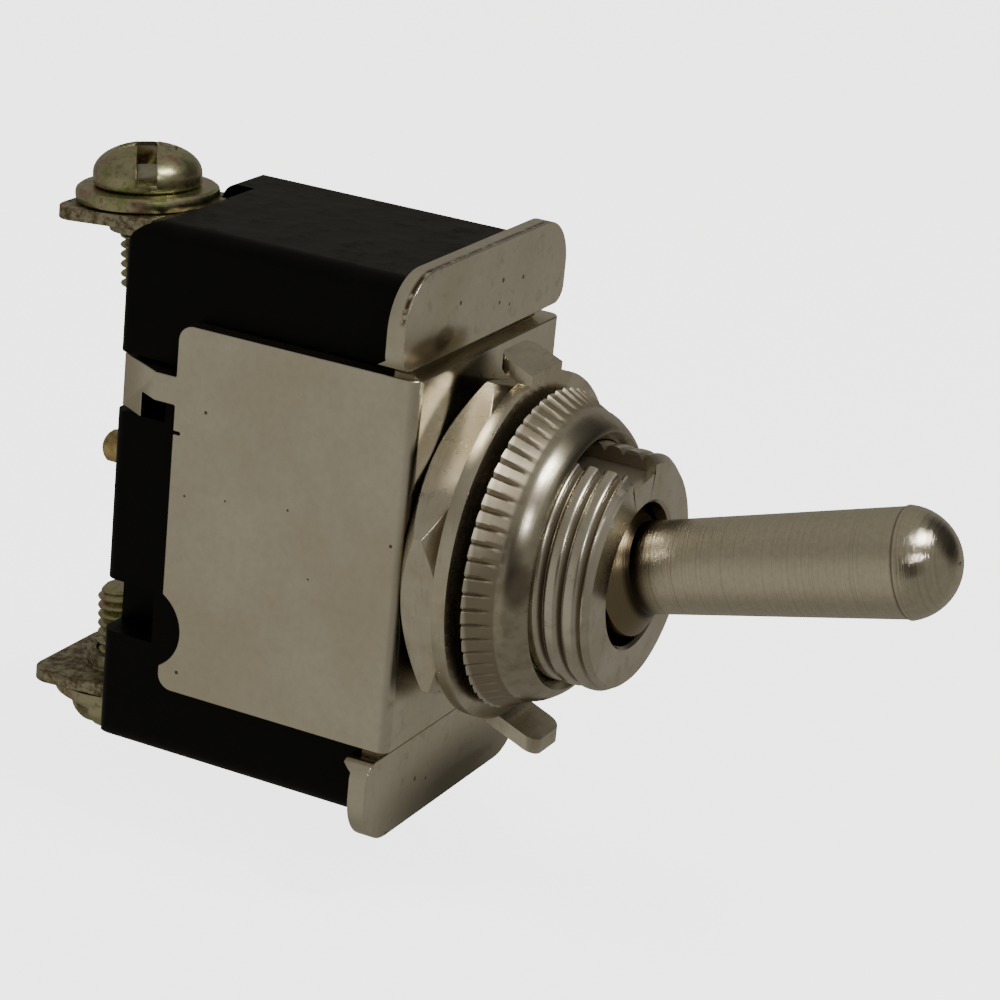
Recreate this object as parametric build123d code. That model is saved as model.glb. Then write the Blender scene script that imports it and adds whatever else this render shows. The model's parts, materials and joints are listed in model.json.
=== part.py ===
from build123d import *
import os
from math import cos, hypot, pi, radians, sin, sqrt, tan

os.makedirs("parts", exist_ok=True)

# Panel toggle switch, on-off, with two screw terminals. Millimetres.
# The origin lies on the axis of the threaded stem, at the front face of the bracket.
# +Z runs up the body, the lever points to -Y and the terminals point to +Y.

# Sheet metal of the frame
bracket_sheet = 1.0
cover_sheet = 0.95
wing_face = 0.45
bend_round = 0.6

# Moulded case
case_width = 12.7
case_height = 27.6
case_depth = 15.9
case_edge_round = 1.0
top_back_round = 2.2
bottom_back_round = 0.9
side_back_round = 0.7
cavity_width = 9.9
cavity_height = 24.6
floor_thickness = 2.9
tray_depth = 1.7
tray_width = 7.8
tray_height = 25.0
moulded_corner = 0.8
recess_clearance = 0.05

# Side notches of the case, for the near side; the far side is turned half round the stem
notch_depth = 1.9
notch_length = 3.0
tab_notch_low = 3.9
tab_notch_high = 6.95
free_notch_low = -7.8
free_notch_high = -5.0

# Cover plate under the bracket
cover_width = 16.9
cover_height = 29.0
wing_outer_round = 2.6
wing_inner_round = 0.9
channel_gap = 0.45
channel_slope = 0.35

# Bracket
bracket_height = 19.0
bracket_short = 1.2
side_clearance = 0.2
panel_corner = 0.8
bite_radius = 2.2
bite_depth = 1.1
nick_height = 0.8
nick_depth = 0.4
tab_stem = 1.15
tab_length = 3.3
tab_angle = 30
tab_root_width = 1.45
tab_clearance = 0.15

# Threaded stem
thread_radius = 5.95
stem_length = 9.0
stem_chamfer = 0.4
bore_radius = 3.6
bore_length = 7.0
funnel_radius = 4.6
spigot_radius = 5.15
spigot_clearance = 0.05
rim_radius = 5.6
rim_height = 0.45
groove_radius = 4.7
keyway_width = 2.5
keyway_depth = 1.0
keyway_turn = 8

# Nuts and ring on the stem
thread_clearance = 0.05
turning_gap = 0.02
hex_across_flats = 15.3
hex_height = 2.3
hex_turn = 15
hex_chamfer_radius = 7.6
hex_chamfer_angle = 37
ring_sheet = 0.72
ring_bore_clearance = 0.1
ring_radius = 8.75
key_clearance = 0.15
ring_gap = 0.48
top_tab_width = 3.3
top_tab_start = 9.1
top_tab_length = 2.05
foot_tab_width = 3.0
foot_tab_start = 9.1
foot_tab_length = 3.05
tab_end_round = 0.7
ring_tab_angle = 68
knurl_radius = 8.1
knurl_depth = 0.25
knurl_runout = 0.15
knurl_groove_share = 0.45
knurl_teeth = 60
knurl_length = 1.5
knurl_front_radius = 7.35
dome_middle_radius = 7.03
lip_radius = 6.5
knurled_nut_height = 2.75

# Lever and its plunger; lengths run from the cross pin
mouth_to_pivot = 1.4
half_throw = 15.5
barrel_radius = 3.3
barrel_half_length = 0.9
shank_radius = 2.25
shank_end = 15.4
shank_end_radius = 2.64
tip_rim_radius = 2.7
lever_length = 17.77
tail_radius = 1.55
tail_edge = 0.3
tail_bore_depth = 7.2
lever_pin_radius = 0.8
lever_pin_clearance = 0.05
pin_end_gap = 0.1
plunger_radius = 0.95
plunger_clearance = 0.05
plunger_tip_radius = 1.3
plunger_tip_angle = 60
plunger_stroke = 1.4
plunger_stop_gap = 0.1
plunger_head_length = 1.25
spring_length = 3.7
spring_wire = 0.22
spring_radius = 0.7
spring_turns = 3

# Rocking contact blade; its own frame has the fulcrum at the origin, Y back and Z up
fulcrum_height = 2.1
half_rock = 9
tip_to_fulcrum = 3.05
tip_gap = 0.15
blade_sheet = 0.6
blade_width = 5.6
trough_half_height = 5.0
contact_height = 9.6
pad_half_height = 1.1
contact_radius = 1.4
contact_thickness = 0.5
contact_gap = 0.08
fixed_head_radius = 1.7
fixed_head_height = 0.6
lug_radius = 1.05
lug_width = 0.6
fulcrum_pin_radius = 0.5
fulcrum_clearance = 0.05
press_clearance = 0.02
ear_gap = 0.15
ear_half_height = 1.4
ear_corner = 0.6
fulcrum_sheet = 0.8
fulcrum_base_half_height = 2.2

# Rivets
rivet_radius = 1.05
rivet_clearance = 0.05
centre_head_radius = 1.6
centre_head_height = 0.5
rivet_shoulder_radius = 1.8
rivet_shoulder_height = 0.5
post_radius = 0.85
rivet_drop = 0.6
post_overhang = 4.4
post_round = 0.45
contact_rivet_radius = 1.0
contact_tail_radius = 1.6

# Screw terminals
terminal_sheet = 0.65
tongue_width = 7.4
neck_width = 5.2
leg_width = 5.0
upper_tongue_height = 12.8
lower_tongue_height = 12.45
tongue_overhang = 6.1
tongue_shoulder_gap = 0.1
tongue_round = 1.2
knee_round = 0.4
upper_droop = 4.5
lower_droop = 3.0
upper_leg_end = 2.6
lower_leg_margin = 1.6
neck_clearance = 0.15
upper_screw_overhang = 2.7
lower_screw_overhang = 2.45
screw_radius = 1.42
screw_clearance = 0.05
screw_end_height = 8.1
screw_tip_round = 0.4
screw_head_radius = 2.75
screw_head_side = 0.6
screw_head_height = 2.1
screw_slot_width = 0.9
screw_slot_depth = 1.0
cross_slot_length = 3.0
upper_slot_turn = 27
lower_slot_turn = 20
collar_wall = 0.5
collar_height = 0.8
washer_radius = 3.65
washer_thickness = 0.8
washer_clearance = 0.2
washer_edge = 0.25

# Depths that follow from the sizes above
channel_back = bracket_sheet + cover_sheet
case_front = wing_face + cover_sheet
case_back = case_front + case_depth
tray_floor = case_back - tray_depth
bracket_reach = case_back - notch_length - bracket_short
tongue_shoulder = case_back + tongue_shoulder_gap
tongue_end = case_back + tongue_overhang
post_end = case_back + post_overhang
cavity_floor = tray_floor - floor_thickness
pivot_y = mouth_to_pivot - stem_length
fulcrum_y = cavity_floor - fulcrum_height
plunger_reach = fulcrum_y - pivot_y - tip_to_fulcrum
tail_length = plunger_reach - plunger_head_length - plunger_stroke - plunger_stop_gap
tail_bore_start = tail_length - tail_bore_depth
pad_back = cavity_floor - fixed_head_height - contact_gap - contact_thickness - fulcrum_y
ring_back = -hex_height
ring_front = ring_back - ring_sheet
knurl_back = ring_front - ring_gap
bracket_half_width = case_width / 2 + side_clearance + bracket_sheet
bracket_half_height = bracket_height / 2


def plate(outline, front, back):
    """An outline in X and Z, made as thick as from Y = front to Y = back."""
    return extrude(Plane.XZ.offset(-back) * outline, back - front)


def across(section, left, right):
    """A section in Y and Z, drawn out from X = left to X = right."""
    return extrude(Plane.YZ.offset(left) * section, right - left)


def upright(section, bottom, top):
    """A section in X and Y, drawn out from Z = bottom to Z = top."""
    return extrude(Plane.XY.offset(bottom) * section, top - bottom)


def outline(*points):
    return make_face(Polyline(*points, close=True))


def span(low_a, high_a, low_b, high_b):
    """A rectangle given by its limits along the two axes of its plane."""
    return Pos((low_a + high_a) / 2, (low_b + high_b) / 2) * Rectangle(high_a - low_a, high_b - low_b)


def turned(*points):
    """A solid turned on the Y axis from half its section, in radius and Y."""
    return revolve(outline(*points), Axis.Y)


def rod(radius, front, back):
    """A round bar on the Y axis."""
    return plate(Circle(radius), front, back)


def cross_bar(radius, half_length, y=0):
    """A round bar along X, centred on the stem's plane."""
    return across(Pos(y, 0) * Circle(radius), -half_length, half_length)


def folded(path, thickness):
    """The section of a folded sheet: one face follows the path, the other lies to its left."""
    corners = [Vector(*point) for point in path]
    runs = [(end - start).normalized() for start, end in zip(corners, corners[1:])]
    normals = [Vector(-run.Y, run.X) for run in runs]
    mitres = [(a + b) * (1 / (1 + a.dot(b))) for a, b in zip(normals, normals[1:])]
    sides = [normals[0], *mitres, normals[-1]]
    inner = [corner + side * thickness for corner, side in zip(corners, sides)]
    return make_face(Polyline(*corners, *reversed(inner), close=True))


def half_turned(solid):
    """The same feature on the far side, turned half round the stem's axis."""
    return Rot(0, 180, 0) * solid


def rounded_at(face, radius, *points):
    """The face with the corners nearest the given points rounded."""
    chosen = [face.vertices().sort_by_distance(Vector(*point))[0] for point in points]
    return fillet(chosen, radius)


# Case: one phenolic moulding, open to the front, with a tray for the terminals at the back
def side_notches():
    start = case_back - notch_length
    outer = case_width / 2
    depth = span(start, case_back + 1, tab_notch_low, tab_notch_high)
    free = span(start, case_back + 1, free_notch_low, free_notch_high)
    cuts = across(depth, -outer - 1, -outer + notch_depth)
    return cuts + across(free, -outer - 1, -outer + notch_depth)


def make_housing():
    front_view = RectangleRounded(case_width, case_height, case_edge_round)
    body = plate(front_view, case_front, case_back)
    top = case_height / 2
    side_view = span(case_front, case_back, -top, top)
    side_view = rounded_at(side_view, top_back_round, (case_back, top))
    side_view = rounded_at(side_view, bottom_back_round, (case_back, -top))
    edge = case_width / 2
    near_half = across(side_view, -edge, 0)
    body &= near_half + half_turned(near_half)
    top_view = span(-edge, edge, case_front, case_back)
    top_view = rounded_at(top_view, side_back_round, (-edge, case_back), (edge, case_back))
    body &= upright(top_view, -top, top)

    recess = bracket_half_height + channel_gap + cover_bend_shift() + recess_clearance
    body -= plate(Rectangle(case_width + 1, 2 * recess), case_front - 1, channel_back)
    cavity = Rectangle(cavity_width, cavity_height)
    body -= plate(cavity, case_front, cavity_floor)
    body -= rod(rim_radius + side_clearance, case_front, channel_back + rim_height + 0.1)
    tray = RectangleRounded(tray_width, tray_height, moulded_corner)
    body -= plate(tray, tray_floor, case_back + 1)

    tongue_slot = Rectangle(neck_width + 2 * neck_clearance, case_height + 1)
    slots = plate(tongue_slot, tray_floor - neck_clearance, case_back + 1)
    middle = plate(Rectangle(case_width, tray_height - moulded_corner), case_front, case_back + 1)
    body -= slots - middle
    body -= side_notches() + half_turned(side_notches())

    body -= Pos(0, 0, -rivet_drop) * rod(rivet_radius + rivet_clearance, cavity_floor - 1, case_back)
    fixed_hole = rod(contact_rivet_radius + rivet_clearance, cavity_floor - 1, case_back)
    body -= Pos(0, 0, -contact_height) * fixed_hole
    stop = Rectangle(2 * fixed_head_radius, 2 * pad_half_height)
    stop_front = cavity_floor - fixed_head_height - contact_thickness
    body += Pos(0, 0, contact_height) * plate(stop, stop_front, cavity_floor)
    return body


# Cover plate: one pressed sheet with a channel in which the bracket sits
def cover_bend_shift():
    """How far the channel's back corners lie outside its front ones."""
    slope = hypot(channel_slope, bracket_sheet - wing_face)
    return cover_sheet * (slope - channel_slope) / (bracket_sheet - wing_face)


def make_cover_plate():
    wing_end = cover_height / 2
    channel_edge = bracket_half_height + channel_gap
    channel_foot = channel_edge - channel_slope
    half = [(wing_face, channel_edge), (wing_face, wing_end)]
    path = [(wing_face, -wing_end), (wing_face, -channel_edge), (bracket_sheet, -channel_foot)]
    path += [(bracket_sheet, channel_foot), *half]
    section = folded([(y, z) for y, z in reversed(path)], cover_sheet)
    sheet = across(section, -cover_width / 2, cover_width / 2)

    waist = case_width / 2 - recess_clearance
    side = cover_width / 2
    half_high = (wing_end - channel_edge) / 2
    wing = Rectangle(cover_width, 2 * half_high)
    wing = rounded_at(wing, wing_outer_round, (-side, half_high), (side, half_high))
    wing = rounded_at(wing, wing_inner_round, (-side, -half_high), (side, -half_high))
    wing = Pos(0, (wing_end + channel_edge) / 2) * wing
    blank = wing + Rot(0, 0, 180) * wing + Rectangle(2 * waist, 2 * channel_edge + 0.2)
    blank -= Circle(spigot_radius + spigot_clearance)
    return sheet & plate(blank, 0, channel_back + 1)


# Bracket: a folded sheet whose side panels hold the case by tabs in its notches
def locking_tab():
    outer = -bracket_half_width
    bend = bracket_reach + tab_stem
    tip = (outer + tab_length * sin(radians(tab_angle)), bend + tab_length * cos(radians(tab_angle)))
    strip = folded([tip, (outer, bend), (outer, bracket_reach - 1)], bracket_sheet)
    low = tab_notch_low + tab_clearance
    high = tab_notch_high - tab_clearance
    tab = upright(strip, low, high)
    slot = span(bracket_reach, bend + tab_stem, low - 1, high - tab_root_width)
    return tab - across(slot, outer - 1, 0)


def panel_cuts():
    outer = -bracket_half_width
    bite_centre = (free_notch_low + free_notch_high) / 2
    bite_y = bracket_reach + bite_radius - bite_depth
    bite = across(Pos(bite_y, bite_centre) * Circle(bite_radius), outer - 1, 0)
    nick = span(bracket_reach - nick_depth, bracket_reach + 1, tab_notch_low, tab_notch_low + nick_height)
    return bite + across(nick, outer - 1, 0)


def make_yoke_bracket():
    outer = bracket_half_width
    inner = outer - bracket_sheet
    fold = span(-outer, outer, 0, bracket_reach)
    fold = rounded_at(fold, bend_round, (-outer, 0), (outer, 0))
    fold -= span(-inner, inner, bracket_sheet, bracket_reach + 1)
    bracket = upright(fold, -bracket_half_height, bracket_half_height)
    side_view = span(0, bracket_reach, -bracket_half_height, bracket_half_height)
    rear = [(bracket_reach, bracket_half_height), (bracket_reach, -bracket_half_height)]
    side_view = rounded_at(side_view, panel_corner, *rear)
    bracket &= across(side_view, -outer, outer)
    bracket -= rod(spigot_radius + spigot_clearance, -1, bracket_sheet + 1)
    cuts = panel_cuts()
    tab = locking_tab()
    bracket = bracket - cuts - half_turned(cuts)
    return bracket + tab + half_turned(tab)


# Stem: turned, threaded outside, funnel-bored inside and staked behind the cover plate
def make_bushing():
    rim_back = channel_back + rim_height
    bore_end = bore_length - stem_length
    body = turned(
        (bore_radius, -stem_length),
        (thread_radius - stem_chamfer, -stem_length),
        (thread_radius, -stem_length + stem_chamfer),
        (thread_radius, 0),
        (spigot_radius, 0),
        (spigot_radius, channel_back),
        (rim_radius, channel_back),
        (rim_radius, rim_back),
        (funnel_radius, rim_back),
        (bore_radius, bore_end),
    )
    key_top = thread_radius + 1
    key_floor = thread_radius - keyway_depth
    keyway = span(-keyway_width / 2, keyway_width / 2, key_floor, key_top)
    body -= Rot(0, -keyway_turn, 0) * plate(keyway, -stem_length - 1, 0)
    groove_half = lever_pin_radius + lever_pin_clearance
    groove = span(pivot_y, rim_back + 1, -groove_half, groove_half) + Pos(pivot_y, 0) * Circle(groove_half)
    return body - across(groove, -groove_radius, groove_radius)


# Hexagon nut behind the panel
def make_hex_nut():
    corner = hex_across_flats / sqrt(3)
    hexagon = Rot(0, 0, 180 - hex_turn) * RegularPolygon(corner, 6)
    front = -hex_height + turning_gap
    back = -turning_gap
    bevel = (corner + 0.01 - hex_chamfer_radius) * tan(radians(hex_chamfer_angle))
    nut = plate(hexagon, front, back)
    nut &= turned(
        (0, front),
        (hex_chamfer_radius, front),
        (corner + 0.01, front + bevel),
        (corner + 0.01, back - bevel),
        (hex_chamfer_radius, back),
        (0, back),
    )
    return nut - rod(thread_radius + thread_clearance, front - 1, back + 1)


# Locating ring: a keyed washer with one tab bent to the back and one to the front
def ring_tab(foot, start, length, width):
    """A tab bent to +Y out of the ring's plane, with its two end corners rounded."""
    front, root = foot
    along = length * sin(radians(ring_tab_angle))
    rise = length * cos(radians(ring_tab_angle))
    strip = folded([(front, root), (front, start), (front + along, start + rise)], -ring_sheet)
    tab = across(strip, -width / 2, width / 2)
    plan = span(-width / 2, width / 2, front - 1, front + along)
    ends = [(-width / 2, front + along), (width / 2, front + along)]
    return tab & upright(rounded_at(plan, tab_end_round, *ends), 0, start + rise)


def make_locating_ring():
    bore = thread_radius + ring_bore_clearance
    ring = plate(Circle(ring_radius) - Circle(bore), ring_front, ring_back)
    key_floor = thread_radius - keyway_depth + key_clearance
    key = span(-keyway_width / 2 + key_clearance, keyway_width / 2 - key_clearance, key_floor, bore + 0.3)
    ring += Rot(0, -keyway_turn, 0) * plate(key, ring_front, ring_back)

    root = (bore + ring_radius) / 2
    top_tab = ring_tab((ring_front, root), top_tab_start, top_tab_length, top_tab_width)
    foot = ring_tab((-ring_back, root), foot_tab_start, foot_tab_length, foot_tab_width)
    return ring + top_tab + Rot(180, 0, 0) * foot


# Knurled nut in front of the panel
def knurl_grooves():
    """V grooves down the cone, cut flatter than it, so that they run out before the dome."""
    half = knurl_groove_share * pi * knurl_radius / knurl_teeth
    floor = knurl_radius - knurl_depth
    top = knurl_radius + knurl_depth
    vee = Plane.XZ.offset(-knurl_back) * outline((0, floor), (2 * half, top), (-2 * half, top))
    cone_slope = (knurl_radius - knurl_front_radius) / knurl_length
    groove_slope = cone_slope - knurl_depth / (knurl_length - knurl_runout)
    run = Vector(0, -knurl_length, -knurl_length * groove_slope)
    groove = extrude(vee, run.length, dir=run.normalized())
    return [Rot(0, tooth * 360 / knurl_teeth, 0) * groove for tooth in range(knurl_teeth)]


def make_knurled_nut():
    """The teeth run out on the domed front, which ends in a countersunk lip."""
    front = knurl_back - knurled_nut_height
    knurl_front = knurl_back - knurl_length
    bore = thread_radius + thread_clearance
    section = Polyline((bore, front + lip_radius - bore), (bore, knurl_back), (knurl_radius, knurl_back))
    section += Line((knurl_radius, knurl_back), (knurl_front_radius, knurl_front))
    dome_middle = (dome_middle_radius, (knurl_front + front) / 2)
    section += ThreePointArc((knurl_front_radius, knurl_front), dome_middle, (lip_radius, front))
    section += Line((lip_radius, front), (bore, front + lip_radius - bore))
    return revolve(make_face(section), Axis.Y) - knurl_grooves()


# Lever: turned in one piece, bat, pivot barrel and hollow tail; at rest its tip is up
def on_lever(solid):
    return Pos(0, pivot_y, 0) * Rot(-half_throw, 0, 0) * solid


def make_lever():
    section = Polyline(
        (0, tail_length),
        (tail_radius - tail_edge, tail_length),
        (tail_radius, tail_length - tail_edge),
        (tail_radius, barrel_half_length + barrel_radius - tail_radius),
        (barrel_radius, barrel_half_length),
        (barrel_radius, -barrel_half_length),
        (shank_radius, shank_radius - barrel_radius - barrel_half_length),
        (shank_end_radius, -shank_end),
        (tip_rim_radius, -shank_end),
    )
    section += TangentArc((0, -lever_length), (tip_rim_radius, -shank_end), tangent=(1, 0))
    section += Line((0, -lever_length), (0, tail_length))
    lever = revolve(make_face(section), Axis.Y)
    lever -= rod(plunger_radius + plunger_clearance, tail_bore_start, tail_length + 1)
    lever -= cross_bar(lever_pin_radius + press_clearance, barrel_radius + 1)
    return on_lever(lever)


def make_lever_pin():
    return on_lever(cross_bar(lever_pin_radius, groove_radius - pin_end_gap))


def make_plunger():
    stem_start = tail_bore_start + spring_length
    head_start = plunger_reach - plunger_head_length
    head_radius = plunger_tip_radius * sin(radians(plunger_tip_angle))
    head_end = plunger_reach + plunger_tip_radius * cos(radians(plunger_tip_angle))
    tip = plunger_reach + plunger_tip_radius
    section = Polyline(
        (0, stem_start),
        (plunger_radius, stem_start),
        (plunger_radius, head_start),
        (head_radius, head_start),
        (head_radius, head_end),
    )
    section += TangentArc((0, tip), (head_radius, head_end), tangent=(1, 0))
    section += Line((0, tip), (0, stem_start))
    return on_lever(revolve(make_face(section), Axis.Y))


def make_plunger_spring():
    run = spring_length - spring_wire - 2 * press_clearance
    path = Helix(run / spring_turns, run, spring_radius)
    wire = Plane(path @ 0, z_dir=path % 0) * Rectangle(spring_wire, spring_wire)
    coil = sweep(wire, path=path, is_frenet=True)
    start = tail_bore_start + spring_wire / 2 + press_clearance
    return on_lever(Pos(0, start, 0) * Rot(-90, 0, 0) * coil)


# Contact blade: its dished face is struck so that the plunger's tip keeps the same gap
def tip_path_radius():
    """Radius of the arc that the tip's centre draws on the blade, and so of the blade's trough."""
    throw = radians(half_throw)
    rock = radians(half_rock)
    y = plunger_reach * cos(throw) - (fulcrum_y - pivot_y)
    z = plunger_reach * sin(throw)
    tip_y = y * cos(rock) - z * sin(rock)
    tip_z = z * cos(rock) + y * sin(rock)
    drop = -tip_to_fulcrum - tip_y
    return (drop**2 + tip_z**2) / (2 * drop)


def at_rock(y, z):
    """A point fixed while the blade's upper end is back, in the blade's own frame."""
    rock = radians(half_rock)
    return (y * cos(rock) - z * sin(rock), z * cos(rock) + y * sin(rock))


def on_blade(solid):
    return Pos(0, fulcrum_y, 0) * Rot(half_rock, 0, 0) * solid


def make_contact_blade():
    path_radius = tip_path_radius()
    centre = -tip_to_fulcrum - path_radius
    trough = path_radius + plunger_tip_radius + tip_gap
    ridge = centre + sqrt(trough**2 - trough_half_height**2)
    pad_front = pad_back - blade_sheet
    pad_start = at_rock(pad_front, contact_height - pad_half_height)
    pad_end = at_rock(pad_front, contact_height + pad_half_height)
    upper = [(ridge, trough_half_height), pad_start, pad_end]
    lower = [(y, -z) for y, z in upper]
    dish = Pos(centre, 0) * (Circle(trough + blade_sheet) - Circle(trough))
    dish &= span(centre, 0, -trough_half_height, trough_half_height)
    sheet = dish + folded(upper, -blade_sheet) + folded(lower, blade_sheet)
    blade = across(sheet, -blade_width / 2, blade_width / 2)

    lug = span(centre + trough + blade_sheet / 2, 0, -lug_radius, lug_radius) + Circle(lug_radius)
    lug -= Circle(fulcrum_pin_radius + fulcrum_clearance)
    outer = blade_width / 2
    blade += across(lug, outer - lug_width, outer) + across(lug, -outer, lug_width - outer)
    return on_blade(blade)


def make_moving_contact():
    button = rod(contact_radius, pad_back, pad_back + contact_thickness)
    return Pos(0, fulcrum_y, -contact_height) * button


# Fulcrum: a folded brass yoke, its pin and the rivet that holds it
def make_fulcrum_bracket():
    inner = blade_width / 2 + ear_gap
    outer = inner + fulcrum_sheet
    base_front = cavity_floor - fulcrum_sheet
    height = fulcrum_base_half_height
    base = plate(Rectangle(2 * outer, 2 * height), base_front, cavity_floor)
    ear_front = fulcrum_y - ear_half_height
    ear = span(ear_front, cavity_floor, -ear_half_height, ear_half_height)
    front_corners = ear.vertices().sort_by(Axis.X)[:2]
    ear = chamfer(front_corners, ear_corner)
    ear -= Pos(fulcrum_y, 0) * Circle(fulcrum_pin_radius + press_clearance)
    yoke = base + across(ear, -outer, -inner) + across(ear, inner, outer)
    return yoke - Pos(0, 0, -rivet_drop) * rod(rivet_radius + rivet_clearance, base_front - 1, cavity_floor + 1)


def make_fulcrum_pin():
    half_length = blade_width / 2 + ear_gap + fulcrum_sheet + 0.3
    return cross_bar(fulcrum_pin_radius, half_length, fulcrum_y)


def make_centre_rivet():
    head_back = cavity_floor - fulcrum_sheet
    shoulder = tray_floor + terminal_sheet
    section = Polyline(
        (0, head_back - centre_head_height),
        (centre_head_radius, head_back - centre_head_height),
        (centre_head_radius, head_back),
        (rivet_radius, head_back),
        (rivet_radius, shoulder),
        (rivet_shoulder_radius, shoulder),
        (rivet_shoulder_radius, shoulder + rivet_shoulder_height),
        (post_radius, shoulder + rivet_shoulder_height),
        (post_radius, post_end - post_round),
    )
    section += TangentArc((0, post_end), (post_radius, post_end - post_round), tangent=(1, 0))
    section += Line((0, post_end), (0, head_back - centre_head_height))
    return Pos(0, 0, -rivet_drop) * revolve(make_face(section), Axis.Y)


def make_fixed_contact():
    tail_front = tray_floor + terminal_sheet
    rivet = rod(fixed_head_radius, cavity_floor - fixed_head_height, cavity_floor)
    rivet += rod(contact_rivet_radius, cavity_floor, tail_front)
    rivet += rod(contact_tail_radius, tail_front, tail_front + rivet_shoulder_height)
    return Pos(0, 0, -contact_height) * rivet


# Terminals: folded strips, riveted in the tray, each with a collar tapped for its screw
def screw_depth(side):
    return case_back + (upper_screw_overhang if side > 0 else lower_screw_overhang)


def tongue_height(side):
    return upper_tongue_height if side > 0 else lower_tongue_height


def tongue_drop(side, droop):
    """How much lower the tongue's middle is at the screw than at the fold."""
    return (screw_depth(side) - tray_floor - terminal_sheet / 2) * tan(radians(droop))


def make_terminal(side, droop, leg_end, hole_height, hole_radius):
    """side is 1 for the upper terminal and -1 for the lower one, folded the other way."""
    middle = tray_floor + terminal_sheet / 2
    height = tongue_height(side)
    knee = (middle, side * height)
    length = tongue_end - middle
    tip = (tongue_end, knee[1] - length * tan(radians(droop)))
    leg = (middle, side * leg_end)
    centred = folded([leg, knee, tip], terminal_sheet / 2) + folded([leg, knee, tip], -terminal_sheet / 2)
    outer_knee = (tray_floor, side * (height + terminal_sheet / 2))
    centred = rounded_at(centred, knee_round, outer_knee)
    strip = across(centred, -tongue_width / 2, tongue_width / 2)

    half = tongue_width / 2
    plan = span(-half, half, tongue_shoulder, tongue_end)
    plan = rounded_at(plan, tongue_round, (-half, tongue_end), (half, tongue_end))
    plan += span(-neck_width / 2, neck_width / 2, tray_floor, tongue_shoulder)
    low, high = sorted((side * (case_height / 2 + 1), side * leg_end))
    blank = upright(plan, low, high)
    terminal = strip & blank
    narrow = (neck_width - leg_width) / 2
    leg_low, leg_high = sorted((side * (leg_end - 1), side * (height - terminal_sheet)))
    leg_back = tray_floor + terminal_sheet + 0.01
    for edge in (-1, 1):
        start, end = sorted((edge * (neck_width / 2 - narrow), edge * neck_width))
        terminal -= upright(span(start, end, tray_floor - 1, leg_back), leg_low, leg_high)

    seat = screw_place(side, droop)
    collar_radius = screw_radius + screw_clearance + collar_wall
    collar = rod(collar_radius, -terminal_sheet - collar_height, -terminal_sheet / 2)
    terminal += seat * collar
    terminal -= seat * rod(screw_radius + screw_clearance, -tongue_width, 1)
    return terminal - Pos(0, 0, hole_height) * rod(hole_radius + rivet_clearance, tray_floor - 1, case_back)


def screw_place(side, droop):
    """Places a solid drawn on the Y axis, head to +Y, at the tongue's outer face."""
    face = side * (tongue_height(side) + terminal_sheet / 2 / cos(radians(droop)))
    face -= tongue_drop(side, droop)
    return Pos(0, screw_depth(side), face) * Rot(side * 90 - droop, 0, 0)


def make_upper_terminal():
    return make_terminal(1, upper_droop, -upper_leg_end, -rivet_drop, rivet_radius)


def make_lower_terminal():
    leg_end = contact_height - lower_leg_margin
    return make_terminal(-1, lower_droop, leg_end, -contact_height, contact_rivet_radius)


# Terminal screws and their captive washers
def make_screw(side, droop, slot_turn):
    under_head = washer_thickness + 2 * turning_gap
    top = under_head + screw_head_height
    shoulder = under_head + screw_head_side
    drop = tongue_drop(side, droop) * side
    end = screw_end_height - tongue_height(side) - terminal_sheet / 2 + drop
    section = Polyline(
        (0, end),
        (screw_radius - screw_tip_round, end),
        (screw_radius, end + screw_tip_round),
        (screw_radius, under_head),
        (screw_head_radius, under_head),
        (screw_head_radius, shoulder),
    )
    section += TangentArc((0, top), (screw_head_radius, shoulder), tangent=(1, 0))
    section += Line((0, top), (0, end))
    screw = revolve(make_face(section), Axis.Y)
    floor = top - screw_slot_depth
    slot = plate(Rectangle(2 * screw_head_radius + 1, screw_slot_width), floor, top + 1)
    cross = plate(Rectangle(screw_slot_width, cross_slot_length), floor, top + 1)
    screw -= Rot(0, slot_turn, 0) * (slot + cross)
    return screw_place(side, droop) * screw


def make_washer(side, droop):
    front = turning_gap
    back = turning_gap + washer_thickness
    hole = screw_radius + washer_clearance
    washer = turned(
        (hole, front),
        (washer_radius, front),
        (washer_radius, back - washer_edge),
        (washer_radius - washer_edge, back),
        (hole, back),
    )
    return screw_place(side, droop) * washer


nodes = {
    "housing": make_housing(),
    "cover_plate": make_cover_plate(),
    "yoke_bracket": make_yoke_bracket(),
    "bushing": make_bushing(),
    "hex_nut": make_hex_nut(),
    "locating_ring": make_locating_ring(),
    "knurled_nut": make_knurled_nut(),
    "lever": make_lever(),
    "lever_pin": make_lever_pin(),
    "plunger": make_plunger(),
    "plunger_spring": make_plunger_spring(),
    "contact_blade": make_contact_blade(),
    "moving_contact": make_moving_contact(),
    "fulcrum_bracket": make_fulcrum_bracket(),
    "fulcrum_pin": make_fulcrum_pin(),
    "centre_rivet": make_centre_rivet(),
    "fixed_contact": make_fixed_contact(),
    "upper_terminal": make_upper_terminal(),
    "lower_terminal": make_lower_terminal(),
    "upper_screw": make_screw(1, upper_droop, upper_slot_turn),
    "lower_screw": make_screw(-1, lower_droop, lower_slot_turn),
    "upper_washer": make_washer(1, upper_droop),
    "lower_washer": make_washer(-1, lower_droop),
}

for name, solid in nodes.items():
    export_step(solid, f"parts/{name}.step")
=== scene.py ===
# %% [markdown]
# # A panel toggle switch
#
# The CAD model already has the case, the folded sheets, the nuts and the lever. This scene adds what a
# camera sees up close: true helical threads, knurling, slotted screw heads, softened edges, and metal that
# is worn and tarnished in the places where the photograph shows it.

import json
from math import asin, cos, degrees, pi, radians, sin, sqrt

import bmesh
import bpy
from mathutils import Matrix, Vector


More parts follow.
